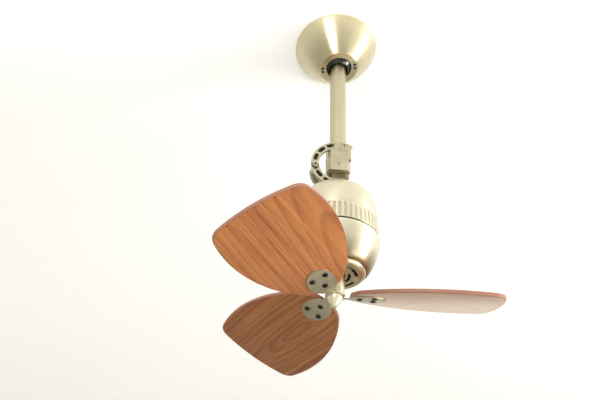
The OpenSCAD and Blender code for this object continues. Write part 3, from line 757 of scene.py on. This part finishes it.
# %% Ribbed band
RIBS, PER_RIB = 48, 18
GROOVE_DEPTH, GROOVE_FROM, GROOVE_SLOPE, GROOVE_SHADE_HALF = 1.75, 0.60, 0.34, 0.23
GROOVE_TOP, GROOVE_LOW, GROOVE_END = -100.3, -125.1, 1.0
BAND = [(57.5, -97.75), (57.6, -98.3), (58.05, -99.3), (58.15, -99.9), (58.2, -100.4), (58.25, -101.2),
        (58.9, -107.0), (59.2, -112.7), (59.5, -118.0), (59.65, -121.0), (59.7, -124.0), (59.75, -124.8),
        (59.77, -125.2), (59.75, -125.7), (59.6, -126.1), (59.2, -126.3)]
BAND_INSIDE = [(55.0, -126.3), (55.0, -119.7), (55.3, -97.75)]


def groove_depth(step, z):
    """The depth of the grooves at a step round the band and a height, with eased sides."""
    from_middle = abs((step % PER_RIB) / PER_RIB - 0.5) * 2
    flank = min(1.0, max(0.0, (GROOVE_FROM - from_middle) / GROOVE_SLOPE))
    to_end = min(GROOVE_TOP - z, z - GROOVE_LOW)
    fade = max(0.0, min(1.0, to_end / GROOVE_END))
    return GROOVE_DEPTH * fade * flank * flank * (3 - 2 * flank)


around_band = RIBS * PER_RIB
work = bmesh.new()
rings = []
for r, z in BAND:
    row = []
    for s in range(around_band):
        radius = (r - groove_depth(s, z)) * MM
        a = math.tau * s / around_band
        row.append(work.verts.new((radius * math.cos(a), radius * math.sin(a), z * MM)))
    rings.append(row)
rings += [ring(work, r, z, around_band) for r, z in BAND_INSIDE]
for a, b in zip(rings, rings[1:] + rings[:1]):
    for s in range(around_band):
        t = (s + 1) % around_band
        face = work.faces.new((a[s], a[t], b[t], b[s]))
        z = face.calc_center_median().z / MM
        # Faces across a groove take the darker finish: painted shade in the grooves.
        groove_shade_face = abs((s + 0.5) % PER_RIB / PER_RIB - 0.5) < GROOVE_SHADE_HALF
        face.material_index = int(groove_shade_face and GROOVE_LOW - 0.1 < z < GROOVE_TOP + 0.1)
band_mesh = mesh_from(work, "ribbed_band")
smooth(band_mesh, 50)
band = new_object("ribbed_band", band_mesh, at_head, [brass_shell, brass_groove_shade])
keep(band, "fan_head", "brushed_brass", "ribbed_band")

# %% [markdown]
# ## The split line
#
# The band and the lower shell meet at a dark line. An empty gap would let light in
# from the far side of the thin shells, so a dark ring lies in it.

# %% Split line
GAP_TOP, GAP_LOW, GAP_R, GAP_INNER_R = -126.25, -128.8, 60.05, 57.9
gap_profile = [(GAP_R - 0.55, GAP_TOP), (GAP_R, GAP_TOP - 0.55), (GAP_R, GAP_LOW + 0.4),
               (GAP_R - 0.25, GAP_LOW), (GAP_INNER_R, GAP_LOW), (GAP_INNER_R, GAP_TOP)]
keep(turned("split_line_shadow", gap_profile, at_head, dark_gap), "fan_head", "brushed_brass")

# %% [markdown]
# ## The vented cap
#
# The cap under the head has a rolled rim and two rows of curved slots for air. Dark
# paint would look flat from the side. The slots are cut through the metal, and their
# edges are then rounded a little, as pressed metal is.

# %% Vented cap
def slot_outline(row, width, from_deg, to_deg, steps=14):
    """A curved slot with round ends about the local origin."""
    half = width / 2
    from_end, to_end = arc_points(row, from_deg, to_deg, 1)
    return (arc_points(row + half, from_deg, to_deg, steps)
            + arc_points(half, to_deg, to_deg + 180, 8, to_end)[1:-1]
            + arc_points(row - half, to_deg, from_deg, steps)
            + arc_points(half, from_deg + 180, from_deg + 360, 8, from_end)[1:-1])


CAP_R, CAP_SKIRT_R, CAP_BORE_R = 41.2, 38.5, 13.5
CAP_FACE, CAP_INNER, CAP_TOP = -185.2, -183.0, -166.0
VENT_WIDTH, VENT_LOW, VENT_HIGH = 4.2, -187, -181
VENT_ROWS = ((28.3, -64, -12), (18.6, -24, 34))
cap_profile = [(CAP_BORE_R, CAP_FACE, 0.6), (35.0, CAP_FACE, 1.2), (37.9, CAP_FACE + 0.6, 1.2),
               (CAP_R - 1.0, CAP_FACE + 2.6, 1.2), (CAP_R, CAP_FACE + 4.6, 1.0), (CAP_R, CAP_FACE + 6.2, 0.7),
               (CAP_SKIRT_R, CAP_FACE + 7.3, 0.5), (CAP_SKIRT_R, CAP_TOP, 0.4),
               (CAP_SKIRT_R - 2, CAP_TOP, 0.4), (CAP_SKIRT_R - 2, CAP_INNER + 2.2, 0.8),
               (34.4, CAP_INNER, 0.8), (CAP_BORE_R, CAP_INNER, 0.4)]
cap = turned("front_cap", cap_profile, at_head, brass_turned, 160)
vents = []
for k in range(4):
    for row, from_deg, to_deg in VENT_ROWS:
        outline = slot_outline(row, VENT_WIDTH, 90 * k + from_deg, 90 * k + to_deg)
        vents.append(prism("vent", outline, VENT_LOW, VENT_HIGH, at_head, brass_turned))
combine(cap, vents, "DIFFERENCE")
soft_edges(cap, 0.22, 2, 50)
smooth(cap.data, 34)
keep(cap, "fan_head", "brushed_brass", "front_cap")

# %% [markdown]
# ## The motor
#
# The motor is closed in: steel sheets in a stack, enamelled copper coils, bearings and
# a shaft. Its CAD solids have the right shapes, so they only get finishes. The stack's
# thin sheets and the coils' strands would be thousands of pieces, so they are drawn by
# the material, from the height and from the distance to the axis.

# %% Laminations and copper
def laminated(name, base):
    """Stacked electrical steel: thin dark lines between the sheets."""
    g = Graph(name)
    place = g.place()
    z = g.split(place)[2]
    line = g.math("LESS_THAN", g.math("FRACT", g.times(z, 2000.0)), 0.25)
    spots = g.noise(place, 140.0, 4.0, 0.6)
    body = g.mix(g.spread(spots, 0.3, 0.7, 0.0, 1.0), toned(base, 0.8), base)
    return g.finish(g.mix(line, body, (0.05, 0.05, 0.055)), g.spread(spots, 0.3, 0.7, 0.5, 0.36),
                    g.bump(line, -0.06, 0.5), Metallic=0.9)


def wound(name):
    """Enamelled wire: round strands side by side, seen across the coil, with painted shade in the grooves
    between them.
    """
    g = Graph(name)
    place, radius, _, z = around(g)
    strand, layer = [g.math("ABSOLUTE", g.math("SINE", g.times(along, 3900.0))) for along in (radius, z)]
    wire = g.times(strand, layer)
    enamel = g.mix(g.noise(place, 120.0, 3.0, 0.6), (0.58, 0.22, 0.09), (0.70, 0.32, 0.14))
    # Between the strands the colour goes dark: painted shade.
    return g.finish(g.mix(wire, (0.20, 0.07, 0.025), enamel), 0.32, g.bump(wire, 0.25, 0.8), Metallic=0.85)


steel_stack = laminated("stacked laminations", (0.30, 0.30, 0.32))
copper_wire = wound("enamelled copper wire")
print("finishes so far:", len(bpy.data.materials))

# %% Motor finishes
MOTOR_FINISHES = (
    (zinc, ("rear_bearing_plate", "front_bearing_plate", "tie_bolts", "cap_screws", "knuckle_nut")),
    (bare_steel, ("rear_bearing", "front_bearing", "motor_shaft")),
    (steel_stack, ("stator_core", "rotor_core")),
    (copper_wire, ("stator_windings",)),
    (sleeve, ("motor_leads",)),
    (can_grey, ("run_capacitor",)),
    (black_steel, ("hub_set_screw",)))
for material, nodes in MOTOR_FINISHES:
    for node in nodes:
        repaint(node, material)

# %% [markdown]
# ## Neck, blade carrier and acorn nut
#
# The neck grips the shaft, and under it a plate reaches out with an oval pad for each
# blade. The blades are pitched, so the pads are too, and the plate is bent between.
# Modelling the bend by hand would be slow. The middle and each pitched arm and pad
# are made flat in their own directions, then joined as solids and rounded as one.

# %% Neck
ROTOR_PHASE = math.radians(-3.5)
PITCH = math.radians(19.5)
BLADE_Z, BLADE_HALF = -214.4, 2.75
CARRIER_THICK = 1.4
CORE_LOW = BLADE_Z - BLADE_HALF - 0.6
CORE_TOP = CORE_LOW + 2.4
NECK_R, SHAFT_R, NECK_TOP = 12.5, 6.0, -176.0
GRUB_R, GRUB_Z, GRUB_HEADING = 2.0, -196, 60


def at_blade(k):
    """The place of a blade: x runs outward along it, and z is square to its face."""
    turn = Matrix.Rotation(ROTOR_PHASE + k * math.tau / 3, 4, "Z")
    lift = Matrix.Translation((0, 0, BLADE_Z * MM))
    return at_head @ turn @ lift @ Matrix.Rotation(PITCH, 4, "X")


neck_profile = [(SHAFT_R, CORE_TOP + 0.01, 0.3), (NECK_R, CORE_TOP + 0.01, 0.4), (NECK_R, NECK_TOP, 0.8),
                (SHAFT_R, NECK_TOP, 0.3)]
neck = turned("blade_hub", neck_profile, at_head, brass_tube, 96)
grub_way = (at_head @ Matrix.Translation((0, 0, GRUB_Z * MM))
            @ Matrix.Rotation(math.radians(GRUB_HEADING), 4, "Z") @ Matrix.Rotation(math.radians(90), 4, "Y"))
grub_hole = turned("hole", [(0, 5), (GRUB_R, 5), (GRUB_R, 20), (0, 20)], grub_way, brass_tube, 32,
                   closed=False)
combine(neck, [grub_hole], "DIFFERENCE")
smooth(neck.data, 34)
keep(neck, "rotor", "brushed_brass", "blade_hub")

# %% Blade carrier
CORE_R, PAD_AT, PAD_LONG, PAD_WIDE = 13.7, 42.5, 25.8, 18.8
PAD_LOW = -BLADE_HALF - CARRIER_THICK
ARM_OUTLINE = [(11.5, -7), (17, -6.6), (24, -8.5), (24, 8.5), (17, 6.6), (11.5, 7)]
pad_outline = [(PAD_AT + PAD_LONG * x, PAD_WIDE * y) for x, y in arc_points(1.0, 0, 360, 120)[:-1]]
core_outline = arc_points(CORE_R, 0, 360, 72)[:-1]
carrier = prism("blade_carrier", core_outline, CORE_LOW, CORE_TOP, at_head, brass_plate)
arms_and_pads = []
for k in range(3):
    for part, outline, inset in (("pad", pad_outline, 0.0), ("arm", ARM_OUTLINE, 0.01)):
        low, high = PAD_LOW + inset, -BLADE_HALF - inset
        arms_and_pads.append(prism(part, outline, low, high, at_blade(k), brass_plate))
combine(carrier, arms_and_pads, "UNION")
soft_edges(carrier, 0.35, 3, 40)
smooth(carrier.data, 34)
keep(carrier, "rotor", "cast_brass", "blade_carrier")

# %% Acorn nut
NUT_R, NUT_TIP_R, NUT_DROP, THREAD_R = 11.3, 3.9, 13.9, 3.0
nut_side = [(NUT_TIP_R + (NUT_R - NUT_TIP_R) * (1 - t ** 1.5), CORE_LOW - 0.8 - (NUT_DROP - 0.8) * t)
            for t in [i / 28 for i in range(28)]]
nut_profile = ([(THREAD_R, CORE_LOW - 0.02), (NUT_R - 0.3, CORE_LOW - 0.02, 0.3)] + nut_side
               + [(NUT_TIP_R, CORE_LOW - NUT_DROP, 0.3), (NUT_TIP_R - 0.8, CORE_LOW - NUT_DROP - 0.78, 0.5),
                  (0, CORE_LOW - NUT_DROP - 0.78)])
keep(turned("finial_nut", nut_profile, at_head, pale_nut, 96, closed=False),
     "rotor", "brushed_brass", "finial_nut")

# %% [markdown]
# ## Wood
#
# The blades are plywood with a stained face veneer. A photograph of wood would be the
# quick way, but it repeats and it blurs close up. Here the face is cut from a drawn
# tree: rings round a heart that lies just under the face, so they close into arches
# as on plain-sawn veneer. The grain runs along each blade, so it is drawn in the
# blade's own directions: x along, y across. The cut edge shows the thin plies.

# %% Veneer
RINGS_PER_M = 125.0


def wood_face(name, made_in, tones, shift, heart, depth, lean, **sockets):
    """Plain-sawn veneer: growth rings cut at a low angle, with fine pores along the grain.

    The tree's heart runs under the face at `depth`, crosses it at `lean`, and lies at
    y = `heart`. Where it comes near the face the rings close into arches.
    """
    g = Graph(name)
    light, middle, dark = tones
    x, y = g.split(g.place(made_in))[:2]

    def grain(sideways, along_rate, across_rate, detail, rough, offset=0.0):
        """Noise that is drawn out along the blade."""
        spot = g.join(g.times(x, along_rate), g.times(sideways, across_rate), shift + offset)
        return g.noise(spot, 1.0, detail, rough)

    sway = grain(y, 5.0, 15.0, 2.0, 0.5)
    across = g.math("ADD", y, g.times(g.math("SUBTRACT", sway, 0.5), 0.012))
    side = g.math("SUBTRACT", across, heart)
    down = g.math("ADD", g.times(x, lean), depth)
    from_heart = g.math("SQRT", g.math("ADD", g.times(side, side), g.times(down, down)))
    growth = g.math("FRACT", g.times(from_heart, RINGS_PER_M))
    late = g.ramp(growth, (0.0, 0.1), (0.62, 0.45), (0.86, 1.0), (1.0, 0.1))
    bands = grain(across, 1.5, 70.0, 4.0, 0.55)
    fibres = grain(across, 6.0, 420.0, 3.0, 0.6)
    pores = grain(across, 75.0, 1500.0, 2.0, 0.6)
    streaks = grain(across, 3.0, 230.0, 2.0, 0.5, 9.0)
    slow = grain(y, 6.0, 9.0, 2.0, 0.5, 3.0)
    tone = g.weighed((bands, 0.42), (fibres, 0.32), (slow, 0.26), (late, -0.13))
    colour = g.ramp(tone, (0.28, dark), (0.435, middle), (0.59, light))
    pale = g.ramp(streaks, (0.56, 0.0), (0.68, 1.0))
    colour = g.mix(g.times(pale, 0.38), colour, toned(light, 1.25))
    pit = g.ramp(pores, (0.36, 1.0), (0.46, 0.0))
    pit = g.times(pit, g.math("ADD", g.times(late, 0.55), 0.35))
    colour = g.mix(g.times(pit, 0.55), colour, toned(dark, 0.5))
    height = g.math("SUBTRACT", g.times(fibres, 0.4), pit)
    return g.finish(colour, g.spread(pores, 0.3, 0.7, 0.50, 0.38), g.bump(height, 0.05, 0.5),
                    Specular_IOR_Level=0.35, **sockets)


print("growth rings to a centimetre:", RINGS_PER_M / 100)


# %% Plywood edge
PLIES_PER_M = 910.0


def wood_edge(name, made_in):
    """The cut edge: plies between thin dark glue lines."""
    g = Graph(name)
    x, y, z = g.split(g.place(made_in))
    layer = g.math("FRACT", g.math("ADD", g.times(z, PLIES_PER_M), 0.5))
    line = g.ramp(layer, (0.0, 0.25), (0.12, 1.0), (0.88, 1.0), (1.0, 0.25))
    fibre = g.noise(g.join(g.times(x, 260.0), g.times(y, 260.0), g.times(z, 3200.0)), 1.0, 3.0, 0.6)
    body = g.mix(fibre, (0.30, 0.125, 0.085), (0.46, 0.22, 0.155))
    colour = g.mix(g.math("SUBTRACT", 1.0, line), body, (0.16, 0.055, 0.035))
    return g.finish(colour, 0.5, g.bump(fibre, 0.06, 0.5))


print("thickness of a ply (mm):", round(1 / (PLIES_PER_M * MM), 2))

# %% Finishes of the three blades
WOOD_TONES = ((0.53, 0.205, 0.062), (0.38, 0.128, 0.036), (0.23, 0.068, 0.019))
# For each blade: shift of the noise, heart's place, its depth (m) and its lean.
GRAIN = ((0.0, 0.030, 0.055, 0.16), (7.0, -0.012, -0.022, 0.20), (14.0, 0.062, 0.040, 0.10))
# How light each blade's wood is drawn: painted light and shade for how each blade is lit.
PAINTED_LIGHT_PER_BLADE = (1.0, 0.97, 1.22)
CLEAR_COAT = dict(Coat_Weight=0.50, Coat_Roughness=COAT_ROUGHNESS)
# The first blade's clear coat is thicker and carries a sheen with a warm tint: a painted reflection, for the
# brighter light this blade catches at a low angle.
FIRST_BLADE_SHEEN = dict(Coat_Weight=1.0, Coat_Roughness=COAT_ROUGHNESS, Coat_Tint=(1.0, 0.95, 0.84),
            Sheen_Weight=0.6, Sheen_Roughness=0.35, Sheen_Tint=(1.0, 0.88, 0.70))
blade_coats = (FIRST_BLADE_SHEEN, CLEAR_COAT, CLEAR_COAT)
woods, ply_edges = [], []
for k in range(3):
    tones = [toned(tone, PAINTED_LIGHT_PER_BLADE[k]) for tone in WOOD_TONES]
    woods.append(wood_face("walnut stain %d" % (k + 1), at_blade(k), tones, *GRAIN[k], **blade_coats[k]))
    ply_edges.append(wood_edge("plywood edge %d" % (k + 1), at_blade(k)))
print("wood finishes:", ", ".join(wood.name for wood in woods + ply_edges))

# %% [markdown]
# ## Blades
#
# A blade is a petal: arcs for the root, the two sides, the two corners and the tip,
# with a bite taken out round the hub. It could be traced point by point, but arcs that
# meet without a corner give the clean line of the real one, and they follow the CAD's
# formulas. The edges are rounded, and the side faces show the plywood.

# %% Blade outline
TIP_R, CORNER_R, CORNER_HALF = 222.7, 20.6, 47.1
ROOT_R, ROOT_AT, SIDE_R, INNER_R = 42.4, 62.2, 205.0, 21.5
root = Vector((ROOT_AT, 0))
corner = Vector((math.sqrt((TIP_R - CORNER_R) ** 2 - CORNER_HALF ** 2), CORNER_HALF))
span = (corner - root).length
way = (corner - root) / span
run = (span ** 2 + (SIDE_R - ROOT_R) ** 2 - (SIDE_R - CORNER_R) ** 2) / (2 * span)
drop = math.sqrt((SIDE_R - ROOT_R) ** 2 - run ** 2)
side_centre = root + way * run + Vector((way.y, -way.x)) * drop


def heading(v):
    return math.degrees(math.atan2(v.y, v.x))


bite_x = (INNER_R ** 2 - ROOT_R ** 2 + ROOT_AT ** 2) / (2 * ROOT_AT)
bite_end = Vector((bite_x, math.sqrt(INNER_R ** 2 - bite_x ** 2)))
side_from, side_to, tip_from = heading(root - side_centre), heading(corner - side_centre), heading(corner)
upper = arc_points(ROOT_R, heading(bite_end - root), side_from, 16, root)
upper += arc_points(SIDE_R, side_from, side_to, 40, side_centre)[1:]
upper += arc_points(CORNER_R, side_to, tip_from, 20, corner)[1:]
upper += arc_points(TIP_R, tip_from, 0, 16)[1:]
lower = [(x, -y) for x, y in upper[-2::-1]]
bite = arc_points(INNER_R, -heading(bite_end), heading(bite_end), 12)
blade_outline = (upper + lower + bite[1:-1])[::-1]
print("blade outline points:", len(blade_outline), " side arcs from", round(side_from, 1), "to",
      round(side_to, 1), "degrees")

# %% Blades
for k in range(3):
    blade = prism("blade_%d" % (k + 1), blade_outline, -BLADE_HALF, BLADE_HALF, at_blade(k),
                  [woods[k], ply_edges[k]])
    for polygon in blade.data.polygons:
        polygon.material_index = 0 if abs(polygon.normal.z) > 0.7 else 1
    soft_edges(blade, 1.1, 4, 60, side_material=1)
    # A tilted local frame would make the blade's bound box larger than the blade.
    blade.data.transform(blade.matrix_world)
    blade.matrix_world = Matrix.Identity(4)
    smooth(blade.data, 34)
    keep(blade, "rotor", "stained_ply", "blade_%d" % (k + 1))

# %% [markdown]
# ## Pad screws and backing plates
#
# Three dark screws hold each blade through its pad, and a tapped plate on top takes
# them. The screws are the same kind as the canopy's, only larger, so the same function
# makes them. The plates are CAD solids with softened edges.

# %% Pad screws and backing plates
PAD_SCREWS = ((33, 0), (52, 9.8), (52, -9.8))
PAD_SCREW = dict(head_r=4.2, dome=1.78, shank_r=2.0, length=CARRIER_THICK + 2 * BLADE_HALF + 1.95)
pad_screws = []
for k in range(3):
    for x, y in PAD_SCREWS:
        spot = at_blade(k) @ Matrix.Translation(Vector((x, y, PAD_LOW)) * MM)
        pad_screws.append(recessed_screw("pad_screw", spot, black_steel, **PAD_SCREW))
keep(merged("blade_screws", pad_screws, black_steel), "rotor", "dark_steel", "blade_screws")
soft_node("backing_plates", 0.35, zinc, "rotor", "plated_steel")

# %% [markdown]
# ## Ceiling and floor
#
# The fan hangs from a white sloping ceiling, and a pale floor lies far under it. Both
# reflect in the brass. A closed room would hide the fan from above and from below, so
# both sheets can be seen from their front only.

# %% Ceiling and floor
def plain(name, colour, rough, glow=0.0):
    """Plain paint that is seen from its front only, so a camera behind it still sees the fan."""
    g = Graph(name)
    tone = g.noise(g.place(), 3.0, 3.0, 0.5)
    base = g.mix(g.spread(tone, 0.3, 0.7, 0.0, 1.0), toned(colour, 0.985), colour)
    g.finish(base, rough, Emission_Color=base, Emission_Strength=glow)
    from_behind = g.node("ShaderNodeNewGeometry", out="Backfacing")
    clear = g.node("ShaderNodeBsdfTransparent")
    both = g.node("ShaderNodeMixShader", {0: from_behind, 1: g.shader.outputs[0], 2: clear})
    g.put(g.tree.nodes["Material Output"].inputs["Surface"], both)
    return g.material


def sheet_at(name, half_m, matrix, material, faces_down=False):
    """A square sheet of the stage."""
    work = bmesh.new()
    corners = [work.verts.new((x * half_m, y * half_m, 0)) for x, y in ((-1, -1), (1, -1), (1, 1), (-1, 1))]
    work.faces.new(corners[::-1] if faces_down else corners)
    new_object(name, mesh_from(work, name, face_outward=False), matrix, material)
    print("stage sheet %s: %.1f m wide" % (name, 2 * half_m))


FLOOR_Z_M = -1.75
ceiling_paint = plain("ceiling paint", (0.93, 0.93, 0.925), 0.8, 0.30)
floor_paint = plain("pale floor", (0.44, 0.43, 0.39), 0.6)
sheet_at("stage_ceiling", 3.5, on_ceiling @ Matrix.Translation((0, 0, 0.4 * MM)), ceiling_paint, True)
sheet_at("stage_floor", 4.5, Matrix.Translation((0, 0, FLOOR_Z_M)), floor_paint)

# %% [markdown]
# ## Light
#
# The room has windows to the right and in front, and they lie as upright streaks on
# the tube and the head. One big soft light would show no streaks. Each lamp stands
# where a mirror on the brass would see it, and a weaker one lights the underside. The
# world fills in the walls: bright to the right and in front, dimmer on the left and
# behind.

# %% Lamps
def area_lamp(name, place, aim, size, power, colour):
    """A lamp with a rectangle for its face. Places and sizes are in metres."""
    data = bpy.data.lights.new(name, "AREA")
    data.shape = "RECTANGLE"
    data.size, data.size_y = size
    data.energy = power
    data.color = colour
    lamp = bpy.data.objects.new(name, data)
    bpy.context.scene.collection.objects.link(lamp)
    lamp.location = place
    lamp.rotation_euler = (Vector(aim) - Vector(place)).to_track_quat("-Z", "Y").to_euler()
    print("lamp %s: %g W" % (name, power))


area_lamp("window right", (1.85, -0.45, -0.60), (0.0, 0.0, -0.25), (0.65, 1.1), 27.0, (1.0, 0.985, 0.95))
area_lamp("window front", (-0.75, -2.20, -0.50), (0.0, 0.0, -0.2), (0.75, 0.8), 24.0, (1.0, 0.985, 0.95))
area_lamp("soft fill", (1.5, -0.9, -1.4), (0.0, 0.0, -0.45), (1.0, 0.6), 8.0, (1.0, 0.98, 0.94))

# %% Walls of the room
BRIGHT_WAY = Vector((0.80, -0.60, 0.0))
# How far a direction points the bright way, from and to, and the wall's strength there.
WALL_LIGHT = (-0.9, 0.8, 0.63, 0.95)
# Between these heights the walls go from the floor's warm grey to white.
TINT_HEIGHT = (-0.7, 0.3)
world = bpy.data.worlds.new("room")
bpy.context.scene.world = world
world.use_nodes = True
sky = world.node_tree
background = sky.nodes["Background"]
coords = sky.nodes.new("ShaderNodeTexCoord").outputs["Generated"]
split = sky.nodes.new("ShaderNodeSeparateXYZ")
toward = sky.nodes.new("ShaderNodeVectorMath")
toward.operation = "DOT_PRODUCT"
toward.inputs[1].default_value = BRIGHT_WAY
walls = sky.nodes.new("ShaderNodeMapRange")
for socket, value in zip((1, 2, 3, 4), WALL_LIGHT):
    walls.inputs[socket].default_value = value
height = sky.nodes.new("ShaderNodeMapRange")
for socket, value in zip((1, 2), TINT_HEIGHT):
    height.inputs[socket].default_value = value
tint = sky.nodes.new("ShaderNodeValToRGB")
tint.color_ramp.elements[0].color = (0.40, 0.385, 0.32, 1)
tint.color_ramp.elements[1].color = (1.0, 1.0, 0.98, 1)
for output, socket in ((coords, split.inputs[0]), (coords, toward.inputs[0]),
                       (toward.outputs["Value"], walls.inputs[0]), (split.outputs["Z"], height.inputs[0]),
                       (height.outputs[0], tint.inputs[0]), (tint.outputs[0], background.inputs["Color"]),
                       (walls.outputs[0], background.inputs["Strength"])):
    sky.links.new(output, socket)
bpy.context.scene.view_settings.view_transform = "Standard"
bpy.context.scene.view_settings.look = "None"
bpy.context.scene.view_settings.exposure = 0.0
print("walls from", WALL_LIGHT[2], "to", WALL_LIGHT[3])
